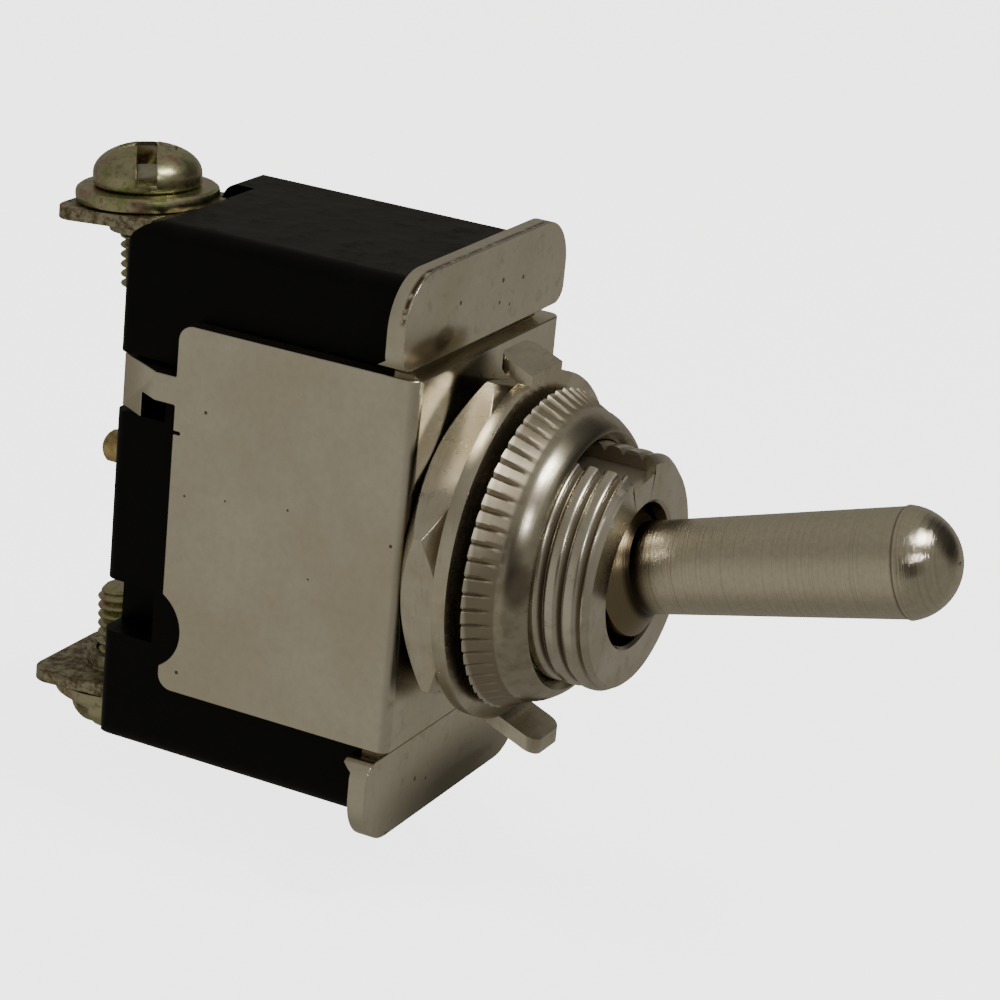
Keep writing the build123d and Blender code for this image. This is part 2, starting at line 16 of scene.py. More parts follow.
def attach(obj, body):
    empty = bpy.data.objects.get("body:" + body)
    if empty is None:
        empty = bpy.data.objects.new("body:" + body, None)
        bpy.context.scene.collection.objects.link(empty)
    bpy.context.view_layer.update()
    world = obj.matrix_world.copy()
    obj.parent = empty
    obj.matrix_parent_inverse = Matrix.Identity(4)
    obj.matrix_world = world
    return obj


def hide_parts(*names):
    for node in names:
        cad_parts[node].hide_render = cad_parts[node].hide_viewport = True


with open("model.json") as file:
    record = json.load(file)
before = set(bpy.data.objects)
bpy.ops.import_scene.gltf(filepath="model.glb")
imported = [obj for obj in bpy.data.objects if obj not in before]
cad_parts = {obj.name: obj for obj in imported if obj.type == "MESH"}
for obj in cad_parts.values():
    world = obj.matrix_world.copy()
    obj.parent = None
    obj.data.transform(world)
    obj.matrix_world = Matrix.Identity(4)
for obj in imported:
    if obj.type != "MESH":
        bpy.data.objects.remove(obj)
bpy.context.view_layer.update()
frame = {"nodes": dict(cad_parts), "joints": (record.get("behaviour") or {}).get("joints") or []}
MM = 0.001
MERGE_DISTANCE = 0.0005 * MM
CREASE = radians(32)

# %% [markdown]
# ## Meshes from rings
#
# Every turned piece here is a stack of rings of points, all with the same number of points, joined by
# quads. Rings may run along the inside of a piece as well as its outside, and the last ring may join the
# first. Spin would do for a plain turned piece, but a thread and a knurl change round the axis, and rings
# can follow that.


# %% Rings to a mesh
def ring_mesh(name, rings, body, replaces=(), closed=True, helix=(1, 0, 0)):
    """Joins rings of points, in millimetres, and makes a smooth piece of them that rides on a CAD body.

    helix gives the first and the last helical ring and the number of them to a turn. A helical ring ends one
    turn away from its start, so its end joins the start of the ring that lies one turn back.
    """
    first, last, turn = helix
    shape = bmesh.new()
    rows = [[shape.verts.new([v * MM for v in point]) for point in ring] for ring in rings]
    if closed:
        rows.append(rows[0])

    def seam_end(row):
        return rows[min(row + turn, last) if first <= row <= last else row][-1]

    for row, (lower, upper) in enumerate(zip(rows, rows[1:])):
        for start in range(len(lower) - 1):
            shape.faces.new((lower[start], lower[start + 1], upper[start + 1], upper[start]))
        corners = dict.fromkeys((seam_end(row), lower[0], upper[0], seam_end(row + 1)))
        shape.faces.new(list(corners))
    bmesh.ops.remove_doubles(shape, verts=shape.verts, dist=MERGE_DISTANCE)
    bmesh.ops.dissolve_degenerate(shape, edges=shape.edges, dist=0.8 * MERGE_DISTANCE)
    bmesh.ops.recalc_face_normals(shape, faces=shape.faces)
    return make_piece(name, shape, body, replaces)


def make_piece(name, shape, body, replaces):
    mesh = bpy.data.meshes.new(name)
    shape.to_mesh(mesh)
    shape.free()
    piece = bpy.data.objects.new(name, mesh)
    bpy.context.collection.objects.link(piece)
    mesh.shade_smooth()
    mesh.set_sharp_from_angle(angle=CREASE)
    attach(piece, body)
    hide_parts(*replaces)
    print(name, len(mesh.polygons), "faces")
    return piece


def round_ring(radius, y, steps):
    """A ring round the Y axis. The radius may be a number or a function of the angle in degrees."""
    angles = [360 * step / steps for step in range(steps)]
    radii = [radius(angle) if callable(radius) else radius for angle in angles]
    return [(r * cos(radians(a)), y, r * sin(radians(a))) for r, a in zip(radii, angles)]


# %% [markdown]
# ## The threaded stem
#
# A thread is a profile that moves along the stem by one pitch a turn. The rings of the thread are helical:
# each point's place along the stem depends on its angle too, so the crests stay sharp along their whole
# length. The keyway and the two grooves of the lever's pin are slots. Near a slot the points stand at its
# edges and its floor, and they only move there in the rings that the slot cuts.

# %% Stem with a helical thread
PITCH = 1.0
CREST = 5.95
THREAD_DEPTH = 0.36
STEM_FRONT = -9.0
STEM_CHAMFER = 0.4
BORE = 3.6
FUNNEL_START = -2.0
FUNNEL = 4.6
SPIGOT = 5.15
RIM = 5.6
RIM_FRONT = 1.95
RIM_BACK = 2.4
STEM_STEPS = 144
THREAD_START = -0.45
RUNOUT = 0.4
SLOT_ZONE = 15.5

# Share of the thread's depth at places along one pitch
THREAD_PROFILE = (1, 0.72, 0.34, 0.14, 0.05, 0.01, 0, 0, 0, 0.01, 0.05, 0.14, 0.34, 0.72)

# Middle angle, half width, floor's distance from the axis, and radius of the wall that the slot cuts
SLOTS = {
    "keyway": (98, 1.25, 4.95, CREST),
    "right_groove": (0, 0.85, 4.7, BORE),
    "left_groove": (180, 0.85, 4.7, BORE),
}
FLOOR_SHARES = (-1, -0.6, -0.2, 0.2, 0.6, 1)
SLOT_SHARES = ((-1, "edge"), *[(share, "floor") for share in FLOOR_SHARES], (1, "edge"))


def station_order(station):
    """By angle; at a slot's first wall the edge comes before the floor, and at the second after it."""
    angle, _, share, kind = station
    return angle % 360, kind == ("floor" if share < 0 else "edge")


def slot_stations():
    """Each station is an angle, the slot it lies in, if any, the share of its half width and a kind."""
    stations = []
    for name, (middle, half, _, wall) in SLOTS.items():
        reach = degrees(asin(half / wall))
        stations += [(middle + share * reach, name, share, kind) for share, kind in SLOT_SHARES]
    for step in range(STEM_STEPS):
        angle = 360 * step / STEM_STEPS
        offsets = [(angle - middle + 180) % 360 - 180 for middle, _, _, _ in SLOTS.values()]
        if all(abs(offset) >= SLOT_ZONE for offset in offsets):
            stations.append((angle, None, 0, "plain"))
    return sorted(stations, key=station_order)


def stem_ring(radius, y, cut=()):
    """A ring of the stem. radius and y may be functions of the angle; cut names the slots that reach it."""
    points = []
    for angle, name, share, kind in STATIONS:
        place = y(angle) if callable(y) else y
        along = radius(angle) if callable(radius) else radius
        across = 0
        turn = radians(angle)
        if name in cut:
            middle, half, depth, _ = SLOTS[name]
            across = share * half
            along = sqrt(along**2 - across**2)
            if kind == "floor":
                along = min(along, depth) if name == "keyway" else max(along, depth)
            turn = radians(middle)
        x = along * cos(turn) - across * sin(turn)
        z = along * sin(turn) + across * cos(turn)
        points.append((x, place, z))
    return points


def thread_ring(step):
    """One helical line of the thread, kept between the stem's front face and the start of the thread."""
    count = len(THREAD_PROFILE)
    depth = THREAD_DEPTH * THREAD_PROFILE[step % count]

    def place(angle):
        turns = step / count - (angle % 360) / 360
        return max(STEM_FRONT, min(0, STEM_FRONT + PITCH * turns))

    def radius(angle):
        y = place(angle)
        runout = min(1, max(0, (THREAD_START - y) / RUNOUT))
        return min(CREST - depth * runout, CREST - STEM_CHAMFER + y - STEM_FRONT)

    return stem_ring(radius, place, ("keyway",))


STATIONS = slot_stations()
GROOVES = ("right_groove", "left_groove")
GROOVE_FRONT = -8.45
MOUTH_CHAMFER = 0.15
thread_steps = int((1 - STEM_FRONT / PITCH) * len(THREAD_PROFILE)) + 1
rings = [thread_ring(step) for step in range(thread_steps)]
rings += [stem_ring(SPIGOT, 0, ("keyway",)), stem_ring(SPIGOT, 0), stem_ring(SPIGOT, RIM_FRONT)]
rings += [stem_ring(RIM, RIM_FRONT), stem_ring(RIM, RIM_BACK), stem_ring(FUNNEL, RIM_BACK)]
rings += [stem_ring(FUNNEL, RIM_BACK, GROOVES), stem_ring(BORE, FUNNEL_START, GROOVES)]
rings += [stem_ring(BORE, GROOVE_FRONT, GROOVES), stem_ring(BORE, GROOVE_FRONT)]
rings += [stem_ring(BORE, STEM_FRONT + MOUTH_CHAMFER), stem_ring(BORE + MOUTH_CHAMFER, STEM_FRONT)]
thread = (0, thread_steps - 1, len(THREAD_PROFILE))
ring_mesh("threaded_stem", rings, "frame", ["bushing"], helix=thread)

# %% [markdown]
# ## The knurled nut
#
# Its section runs from the bore over a cone and a dome to the countersunk front. On the cone the radius
# falls at sixty places round the nut, less and less towards the dome, so that the teeth run out as on the
# real nut.

# %% Knurled nut
KNURL_TEETH = 60
KNURL_STEPS = KNURL_TEETH * 8
KNURL_BACK = -3.5
KNURL_FRONT = -5.0
NUT_FRONT = -6.25
NUT_BORE = 6.0
KNURL_RADIUS = 8.09
KNURL_FRONT_RADIUS = 7.35
KNURL_DEPTH = 0.24
KNURL_ROWS = 9
KNURL_RUNOUT = 1.6
GROOVE_SHARE = 0.2
TOOTH_SLOPE = 0.42
LIP = 6.45

# Radius and place of the dome, from the last of the teeth to the lip
DOME = (
    (7.31, -5.2),
    (7.22, -5.42),
    (7.08, -5.65),
    (6.93, -5.87),
    (6.76, -6.07),
    (6.6, -6.2),
    (LIP, NUT_FRONT),
)


def knurled(radius, depth):
    """A radius as a function of the angle: broad teeth, each higher on one side, with narrow grooves."""

    def at(angle):
        phase = (angle * KNURL_TEETH / 360) % 1
        groove = max(0, 1 - min(phase, 1 - phase) / GROOVE_SHARE)
        return radius - depth * max(groove, TOOTH_SLOPE * (1 - phase))

    return at


def knurl_rings():
    rings = []
    for row in range(KNURL_ROWS):
        share = row / (KNURL_ROWS - 1)
        y = KNURL_BACK + share * (KNURL_FRONT - KNURL_BACK)
        radius = KNURL_RADIUS + share * (KNURL_FRONT_RADIUS - KNURL_RADIUS)
        depth = KNURL_DEPTH * min(1, (1 - share) * KNURL_RUNOUT)
        rings.append(round_ring(knurled(radius, depth), y, KNURL_STEPS))
    return rings


rings = [round_ring(NUT_BORE, KNURL_BACK, KNURL_STEPS), *knurl_rings()]
rings += [round_ring(radius, y, KNURL_STEPS) for radius, y in DOME]
rings += [round_ring(NUT_BORE, NUT_FRONT + LIP - NUT_BORE, KNURL_STEPS)]
ring_mesh("knurled_ring_nut", rings, "knurled_nut_body", ["knurled_nut"])

# %% [markdown]
# ## Terminal screws and washers
#
# Both screws are the same piece, placed by one matrix each. The shank takes the same helical recipe as the
# stem. The head is a shallow dome, and a Boolean with two bars leaves its slot and its cross.

# %% Screws and washers
SCREW_PITCH = 0.5
SCREW_RADIUS = 1.42
SCREW_THREAD = (1, 0.6, 0.15, 0, 0.15, 0.6)
SCREW_THREAD_DEPTH = 0.3
SCREW_RUNOUT = 0.3
SCREW_TIP = 0.4
SCREW_STEPS = 48
AXIS = 0.0001
HEAD_BOTTOM = 0.84
HEAD_SIDE = 1.44
HEAD_TOP = 2.94
HEAD_RADIUS = 2.75
HEAD_MIDDLE = 0.001
ROUND_STEPS = 96
SLOT_WIDTH = 1.0
SLOT_FLOOR = 1.3
CROSS_FLOOR = 1.94
CROSS_LENGTH = 3.0
HEAD_EDGE = 0.12
HEAD_CREASE = radians(30)
SLOT_EDGE = 0.05
SLOT_CORNER = radians(40)


def screw_ring(step, tip):
    """One helical line of the screw's thread, from its tip up to the head."""
    count = len(SCREW_THREAD)
    depth = SCREW_THREAD_DEPTH * SCREW_THREAD[step % count]
    points = []
    for column in range(SCREW_STEPS):
        angle = 2 * pi * column / SCREW_STEPS
        y = tip + SCREW_PITCH * (step / count - column / SCREW_STEPS)
        y = max(tip, min(HEAD_BOTTOM, y))
        runout = min(1, (HEAD_BOTTOM - y) / SCREW_RUNOUT)
        r = min(SCREW_RADIUS - depth * runout, SCREW_RADIUS - SCREW_TIP + y - tip)
        points.append((r * cos(angle), y, r * sin(angle)))
    return points


def screw_shank(name, tip, body, place):
    """The shank's mesh closes to a point at its tip and under the head."""
    steps = int(((HEAD_BOTTOM - tip) / SCREW_PITCH + 1) * len(SCREW_THREAD)) + 1
    rings = [round_ring(AXIS, tip, SCREW_STEPS), *[screw_ring(step, tip) for step in range(steps)]]
    rings.append(round_ring(AXIS, HEAD_BOTTOM, SCREW_STEPS))
    thread = (1, steps, len(SCREW_THREAD))
    shank = ring_mesh(name, rings, body, closed=False, helix=thread)
    shank.data.transform(place)


def screw_head(name, turn, body, place, replaces):
    """A domed head with its slot and cross cut by a Boolean, which is applied at once."""
    rise = HEAD_TOP - HEAD_SIDE
    slopes = [radians(angle) for angle in range(90, 5, -6)]
    dome = [(HEAD_RADIUS * sin(slope), HEAD_SIDE + rise * cos(slope)) for slope in slopes]
    rim = [(HEAD_MIDDLE, HEAD_BOTTOM), (HEAD_RADIUS - HEAD_EDGE, HEAD_BOTTOM)]
    rim.append((HEAD_RADIUS, HEAD_BOTTOM + HEAD_EDGE))
    section = [*rim, *dome, (HEAD_MIDDLE, HEAD_TOP)]
    rings = [round_ring(radius, y, ROUND_STEPS) for radius, y in section]
    head = ring_mesh(name, rings, body, replaces, closed=False)
    cutter_shape = bmesh.new()
    top = HEAD_TOP + 1
    slot = (2 * HEAD_RADIUS + 1, SLOT_WIDTH, SLOT_FLOOR)
    cross = (SLOT_WIDTH, CROSS_LENGTH, CROSS_FLOOR)
    for length, width, bottom in (slot, cross):
        size = Matrix.Diagonal((length * MM, (top - bottom) * MM, width * MM, 1))
        bar = Matrix.Translation((0, (bottom + top) / 2 * MM, 0)) @ size
        turned_bar = Matrix.Rotation(radians(turn), 4, "Y") @ bar
        bmesh.ops.create_cube(cutter_shape, size=1, matrix=turned_bar)
    cutter_mesh = bpy.data.meshes.new("cutter")
    cutter_shape.to_mesh(cutter_mesh)
    cutter_shape.free()
    cutter = bpy.data.objects.new("cutter", cutter_mesh)
    bpy.context.collection.objects.link(cutter)
    cut = head.modifiers.new("slot", "BOOLEAN")
    cut.object = cutter
    cut.solver = "EXACT"
    cut.use_self = True
    edge = head.modifiers.new("edge", "BEVEL")
    edge.width = SLOT_EDGE * MM
    edge.segments = 2
    edge.limit_method = "ANGLE"
    edge.angle_limit = SLOT_CORNER
    depsgraph = bpy.context.evaluated_depsgraph_get()
    shaped = bpy.data.meshes.new_from_object(head.evaluated_get(depsgraph))
    head.modifiers.clear()
    head.data = shaped
    bpy.data.objects.remove(cutter)
    shaped.shade_smooth()
    shaped.set_sharp_from_angle(angle=HEAD_CREASE)
    shaped.transform(place)


# Radius and place of the washer's section, from its bore round the rim and back
WASHER_SECTION = (
    (1.63, 0.03),
    (3.45, 0.03),
    (3.6, 0.12),
    (3.64, 0.28),
    (3.64, 0.5),
    (3.6, 0.66),
    (3.45, 0.78),
    (3.1, 0.81),
    (1.63, 0.81),
)


def washer(name, body, place, replaces):
    rings = [round_ring(radius, y, ROUND_STEPS) for radius, y in WASHER_SECTION]
    piece = ring_mesh(name, rings, body, replaces)
    piece.data.transform(place)


def on_tongue(body):
    """Places a piece drawn along +Y, its head outwards, on the tongue that its screw sits on."""
    joint = next(joint for joint in frame["joints"] if joint["child"] == body)
    outward = Vector(joint["axis"]).normalized()
    across = Vector((1, 0, 0))
    turn = Matrix((across, outward, across.cross(outward))).transposed().to_4x4()
    return Matrix.Translation(joint["pos_m"]) @ turn


# Place of the screw's tip along its axis, and the turn of its slot in degrees
TERMINALS = {"upper": (-4.7, 31.5), "lower": (-4.87, 20)}
for where, (tip, slot_turn) in TERMINALS.items():
    body = f"{where}_screw_body"
    place = on_tongue(body)
    screw_shank(f"{where}_screw_thread", tip, body, place)
    screw_head(f"{where}_screw_head", slot_turn, body, place, [f"{where}_screw"])
    washer(f"{where}_captive_washer", body, place, [f"{where}_washer"])

# %% [markdown]
# ## Softened edges
#
# Sheet metal is never sharp where it was sheared or bent, and its edges catch the light. The CAD meshes
# keep their points; modifiers weld and clean them, round every edge and even out the shading.


# %% Rounded edges on the CAD nodes
FLAT = radians(0.6)
CORNER = radians(30)

# Width of each node's rounded edges in millimetres
EDGE_WIDTHS = {
    "housing": 0.16,
    "cover_plate": 0.18,
    "yoke_bracket": 0.12,
    "hex_nut": 0.06,
    "locating_ring": 0.2,
    "upper_terminal": 0.1,
    "lower_terminal": 0.1,
}


def smooth_shading():
    group = bpy.data.node_groups.new("smooth_shading", "GeometryNodeTree")
    group.interface.new_socket("Geometry", in_out="INPUT", socket_type="NodeSocketGeometry")
    group.interface.new_socket("Geometry", in_out="OUTPUT", socket_type="NodeSocketGeometry")
    start = group.nodes.new("NodeGroupInput")
    smooth = group.nodes.new("GeometryNodeSetShadeSmooth")
    end = group.nodes.new("NodeGroupOutput")
    group.links.new(start.outputs[0], smooth.inputs[0])
    group.links.new(smooth.outputs[0], end.inputs[0])
    return group


SMOOTH = smooth_shading()


def soften(node, width):
    piece = frame["nodes"][node]
    weld = piece.modifiers.new("weld", "WELD")
    weld.merge_threshold = MERGE_DISTANCE
    clean = piece.modifiers.new("clean", "DECIMATE")
    clean.decimate_type = "DISSOLVE"
    clean.angle_limit = FLAT
    smooth = piece.modifiers.new("smooth", "NODES")
    smooth.node_group = SMOOTH
    bevel = piece.modifiers.new("edge", "BEVEL")
    bevel.width = width * MM
    bevel.segments = 3
    bevel.limit_method = "ANGLE"
    bevel.angle_limit = CORNER
    bevel.use_clamp_overlap = True
    bevel.miter_outer = "MITER_ARC"
    shade = piece.modifiers.new("shade", "WEIGHTED_NORMAL")
    shade.keep_sharp = False
    shade.weight = 60


for node, width in EDGE_WIDTHS.items():
    soften(node, width)
print("softened:", ", ".join(EDGE_WIDTHS))

# %% [markdown]
# ## Materials
#
# Each material is a small network that reads the place on the piece in millimetres. `Look` keeps the wiring
# short: a method adds one node, feeds it with numbers or with the outputs of other nodes, and gives its
# output. `mark` adds one patch at a given place: a stain, a pit or a patch of painted shade.


# %% A short way to wire a material
class Look:
    def __init__(self, name, **shader):
        self.material = bpy.data.materials.new(name)
        self.material.use_nodes = True
        self.tree = self.material.node_tree
        self.shader = self.tree.nodes["Principled BSDF"]
        self.coordinates = self.tree.nodes.new("ShaderNodeTexCoord")
        scaled = self.add("ShaderNodeVectorMath", operation="SCALE")
        self.feed(scaled.inputs[0], self.coordinates.outputs["Object"])
        self.feed(scaled.inputs["Scale"], 1 / MM)
        self.place = scaled.outputs[0]
        parts = self.add("ShaderNodeSeparateXYZ")
        self.feed(parts.inputs[0], self.place)
        self.x, self.y, self.z = parts.outputs
        self.set(**shader)

    def add(self, kind, **settings):
        node = self.tree.nodes.new(kind)
        for key, value in settings.items():
            setattr(node, key, value)
        return node

    def feed(self, socket, value):
        if isinstance(value, bpy.types.NodeSocket):
            self.tree.links.new(value, socket)
        elif isinstance(value, tuple) and len(value) == 3 and socket.type == "RGBA":
            socket.default_value = (*value, 1)
        else:
            socket.default_value = value

    def set(self, **values):
        for key, value in values.items():
            self.feed(self.shader.inputs[key.replace("_", " ")], value)

    def math(self, operation, *values):
        node = self.add("ShaderNodeMath", operation=operation)
        for socket, value in zip(node.inputs, values):
            self.feed(socket, value)
        return node.outputs[0]

    def times(self, *values):
        product = values[0]
        for value in values[1:]:
            product = self.math("MULTIPLY", product, value)
        return product

    def mix(self, share, first, second):
        node = self.add("ShaderNodeMix", data_type="RGBA")
        self.feed(node.inputs[0], share)
        self.feed(node.inputs[6], first)
        self.feed(node.inputs[7], second)
        return node.outputs[2]

    def between(self, share, first, second):
        node = self.add("ShaderNodeMix", data_type="FLOAT")
        self.feed(node.inputs[0], share)
        self.feed(node.inputs[2], first)
        self.feed(node.inputs[3], second)
        return node.outputs[0]

    def step(self, value, low, high):
        """0 below low and 1 above high, with a soft change between; low may be the larger one."""
        node = self.add("ShaderNodeMapRange", interpolation_type="SMOOTHSTEP")
        for socket, number in zip(node.inputs, (value, low, high, 0.0, 1.0)):
            self.feed(socket, number)
        return node.outputs[0]

    def stretched(self, *scale):
        node = self.add("ShaderNodeVectorMath", operation="MULTIPLY")
        self.feed(node.inputs[0], self.place)
        node.inputs[1].default_value = scale
        return node.outputs[0]

    def noise(self, scale, detail=3, roughness=0.55, distortion=0, at=None):
        node = self.add("ShaderNodeTexNoise")
        self.feed(node.inputs["Vector"], at or self.place)
        settings = {"Scale": scale, "Detail": detail, "Roughness": roughness, "Distortion": distortion}
        for key, value in settings.items():
            node.inputs[key].default_value = value
        return node.outputs[0]

    def spots(self, scale, size, share):
        """1 inside small round spots, about one in so many cells of a Voronoi pattern."""
        node = self.add("ShaderNodeTexVoronoi")
        self.feed(node.inputs["Vector"], self.place)
        node.inputs["Scale"].default_value = scale
        parts = self.add("ShaderNodeSeparateColor")
        self.feed(parts.inputs[0], node.outputs["Color"])
        chosen = self.math("LESS_THAN", parts.outputs[0], share)
        inside = self.step(node.outputs["Distance"], size, size * 0.5)
        return self.times(chosen, inside)

    def mark(self, centre, reach, softness):
        """1 inside an egg-shaped patch round a place, fading out over the outer share given by softness."""
        away = self.add("ShaderNodeVectorMath", operation="SUBTRACT")
        self.feed(away.inputs[0], self.place)
        away.inputs[1].default_value = centre
        share = self.add("ShaderNodeVectorMath", operation="DIVIDE")
        self.feed(share.inputs[0], away.outputs[0])
        share.inputs[1].default_value = reach
        distance = self.add("ShaderNodeVectorMath", operation="LENGTH")
        self.feed(distance.inputs[0], share.outputs[0])
        return self.step(distance.outputs["Value"], 1.0, 1.0 - softness)

    def bump(self, height, strength, distance):
        node = self.add("ShaderNodeBump")
        self.feed(node.inputs["Height"], height)
        node.inputs["Strength"].default_value = strength
        node.inputs["Distance"].default_value = distance * MM
        self.set(Normal=node.outputs[0])

    def radius(self):
        """Distance from the stem's axis in millimetres."""
        squares = self.math("ADD", self.times(self.x, self.x), self.times(self.z, self.z))
        return self.math("SQRT", squares)

    def facing(self, axis):
        """How far the surface faces along an axis of the piece, from 0 to 1."""
        parts = self.add("ShaderNodeSeparateXYZ")
        self.feed(parts.inputs[0], self.coordinates.outputs["Normal"])
        return self.math("ABSOLUTE", parts.outputs[axis])


def paint(look, *names):
    for name in names:
        piece = frame["nodes"].get(name) or bpy.data.objects[name]
        piece.data.materials.clear()
        piece.data.materials.append(look.material)
    print(look.material.name, "on", ", ".join(names))


# %% [markdown]
# The sheets are satin on the sides of the bracket and polished in front. Tarnish is a warm brown that gathers
# in clouds, a few stains and dark pits lie where the photograph shows them, painted shade darkens the lower
# wing towards its edge, and painted shade and a painted dark reflection fill the corner beside the nut.

# %% Nickel sheet
sheet = Look("nickel_sheet", Metallic=1.0)
clouds = sheet.noise(0.16, 4, 0.6)
side = sheet.step(sheet.facing(0), 0.6, 0.9)
fine = sheet.noise(2.4, 5, 0.7)
tone = sheet.mix(sheet.step(clouds, 0.3, 0.7), (0.72, 0.68, 0.57), (0.63, 0.58, 0.46))
tone = sheet.mix(sheet.times(sheet.step(fine, 0.35, 0.7), 0.14), tone, (0.45, 0.4, 0.3))
front = sheet.math("SUBTRACT", 1.0, side)
speckle = sheet.times(sheet.step(sheet.noise(1.1, 5, 0.7), 0.52, 0.72), front)
tone = sheet.mix(sheet.times(speckle, 0.45), tone, (0.3, 0.24, 0.15))

# Centre and reach of each stain on the wings
WING_STAINS = (
    ((-6.2, 0.4, 10.6), (2.6, 1.2, 0.9)),
    ((-4.4, 0.4, 10.9), (1.2, 1.0, 0.7)),
    ((2.0, 0.4, -13.6), (4.0, 1.0, 0.5)),
)
for centre, reach in WING_STAINS:
    stain = sheet.mark(centre, reach, 0.5)
    tone = sheet.mix(sheet.times(stain, 0.65), tone, (0.2, 0.15, 0.08))
# Painted shade: the front of the lower wing darkens towards its bottom edge.
lower_wing_shade = sheet.times(sheet.mark((1.0, 0.4, -14.4), (12.0, 1.5, 4.6), 0.9), front)
tone = sheet.mix(lower_wing_shade, tone, (0.1, 0.085, 0.05))
edge_line = sheet.times(sheet.step(sheet.y, 0.44, 0.62), sheet.step(sheet.y, 0.86, 0.66))
edge_line = sheet.times(edge_line, sheet.step(sheet.noise(1.6, 4, 0.7), 0.36, 0.5))
tone = sheet.mix(sheet.times(edge_line, sheet.step(sheet.z, 12.2, 12.6)), tone, (0.12, 0.07, 0.04))

# Centre and radius of each pit, on the near panel and on the front
PITS = (
    ((-7.55, 11.3, 5.4), 0.1),
    ((-7.55, 9.9, 1.2), 0.06),
    ((-7.55, 6.4, 1.6), 0.07),
    ((-7.55, 12.2, 0.9), 0.07),
    ((-7.55, 5.0, -1.6), 0.06),
    ((-7.55, 12.0, -8.4), 0.11),
    ((-7.55, 0.7, 1.2), 0.1),
    ((1.4, 0.45, 12.5), 0.14),
    ((-3.0, 0.45, 12.3), 0.12),
    ((3.6, 0.45, 12.2), 0.12),
    ((1.2, 0.45, 11.4), 0.1),
    ((-3.2, 0.45, -12.4), 0.13),
    ((-2.0, 0.45, -12.8), 0.1),
    ((-1.0, 0.0, 8.3), 0.13),
)
pits = sheet.times(sheet.spots(0.5, 0.09, 0.2), front)
for centre, size in PITS:
    pits = sheet.math("MAXIMUM", pits, sheet.mark(centre, (size, size, size), 0.2))
tone = sheet.mix(sheet.times(pits, 0.8), tone, (0.05, 0.035, 0.02))
# Painted shade and painted dark reflection on the front, round the near side of the nut.
shade_by_nut = sheet.times(sheet.step(sheet.radius(), 9.9, 9.3), sheet.step(sheet.x, 0.8, -1.5))
shade_by_nut = sheet.times(shade_by_nut, sheet.step(sheet.z, -7.2, -5.2))
shade_by_nut = sheet.times(shade_by_nut, sheet.times(front, sheet.step(sheet.y, 0.3, 0.1)))
tone = sheet.mix(sheet.times(shade_by_nut, 0.85), tone, (0.03, 0.026, 0.018))
polish = sheet.between(side, 0.2, 0.46)
polish = sheet.math("ADD", polish, sheet.times(sheet.math("SUBTRACT", fine, 0.5), 0.16))
sheet.set(Base_Color=tone, Roughness=polish)
height = sheet.math("ADD", sheet.times(fine, 0.1), sheet.times(sheet.noise(0.45, 2), 0.25))
sheet.bump(sheet.math("SUBTRACT", height, pits), 0.3, 0.06)
paint(sheet, "cover_plate", "yoke_bracket")

# %% [markdown]
# The stem carries fine lathe rings, drawn by a noise that is squeezed along the axis. Brown dirt and painted
# shade sit in the roots of the thread and on the keyway's floor, and brown dirt lies in the stem's mouth.

# %% Turned nickel
turned = Look("nickel_turned", Metallic=1.0)
lathe_rings = turned.noise(1.0, 3, at=turned.stretched(0.3, 9, 0.3))
radius = turned.radius()
outside = turned.step(radius, 4.7, 4.8)
# Brown dirt and painted shade in the roots of the thread and on the keyway's floor.
root_dirt_and_shade = turned.times(turned.step(radius, 5.84, 5.7), outside)
root_dirt_and_shade = turned.times(root_dirt_and_shade, turned.step(turned.y, -8.7, -8.4))
grime = turned.times(turned.step(turned.noise(1.3, 5, 0.65), 0.5, 0.68), 0.3)
dirt_and_root_shade = turned.times(turned.math("MAXIMUM", root_dirt_and_shade, grime), turned.step(turned.y, 0.5, 0.0))
mouth = turned.times(turned.step(radius, 3.9, 3.5), turned.step(turned.y, -5.5, -7.5))
worn = turned.step(turned.noise(0.35, 4), 0.4, 0.7)
tone = turned.mix(worn, (0.66, 0.62, 0.53), (0.56, 0.51, 0.41))
tone = turned.mix(turned.times(dirt_and_root_shade, 0.6), tone, (0.15, 0.11, 0.065))
tone = turned.mix(turned.times(mouth, 0.3), tone, (0.36, 0.25, 0.11))
polish = turned.between(dirt_and_root_shade, turned.between(lathe_rings, 0.16, 0.32), 0.5)
turned.set(Base_Color=tone, Roughness=polish)
turned.bump(lathe_rings, 0.2, 0.02)
paint(turned, "threaded_stem")

# %% [markdown]
# The knurled nut is polished on its dome, which has one dark stain, and its teeth are dull. Grime lies in
# the hollows between them at the back of the cone and spreads over the teeth towards the front.

# %% Metal of the knurled nut
GRIME_SLANT = 0.493
ring_nut = Look("nickel_knurl", Metallic=1.0)
teeth = ring_nut.step(ring_nut.y, -5.0, -4.85)
hollow = ring_nut.math("ADD", ring_nut.radius(), ring_nut.times(ring_nut.y, GRIME_SLANT))
grime = ring_nut.times(ring_nut.step(hollow, 6.25, 6.05), teeth)
worn = ring_nut.noise(1.2, 5, 0.65)
stain = ring_nut.mark((-6.6, -5.6, 0.6), (1.0, 0.9, 1.5), 0.4)
tone = ring_nut.mix(ring_nut.step(worn, 0.4, 0.7), (0.5, 0.46, 0.37), (0.38, 0.34, 0.25))
tone = ring_nut.mix(ring_nut.times(teeth, 0.9), tone, (0.72, 0.68, 0.56))
tone = ring_nut.mix(ring_nut.times(grime, 0.65), tone, (0.2, 0.15, 0.09))
tone = ring_nut.mix(ring_nut.times(stain, 0.7), tone, (0.17, 0.13, 0.1))
polish = ring_nut.between(teeth, ring_nut.between(worn, 0.16, 0.34), 0.44)
ring_nut.set(Base_Color=tone, Roughness=polish)
ring_nut.bump(ring_nut.noise(1.0, 3, at=ring_nut.stretched(0.4, 7, 0.4)), 0.16, 0.02)
paint(ring_nut, "knurled_ring_nut")

# %% [markdown]
# The hexagon nut and the locating ring keep the lines of their shearing, and small dark pits are scattered
# over them.

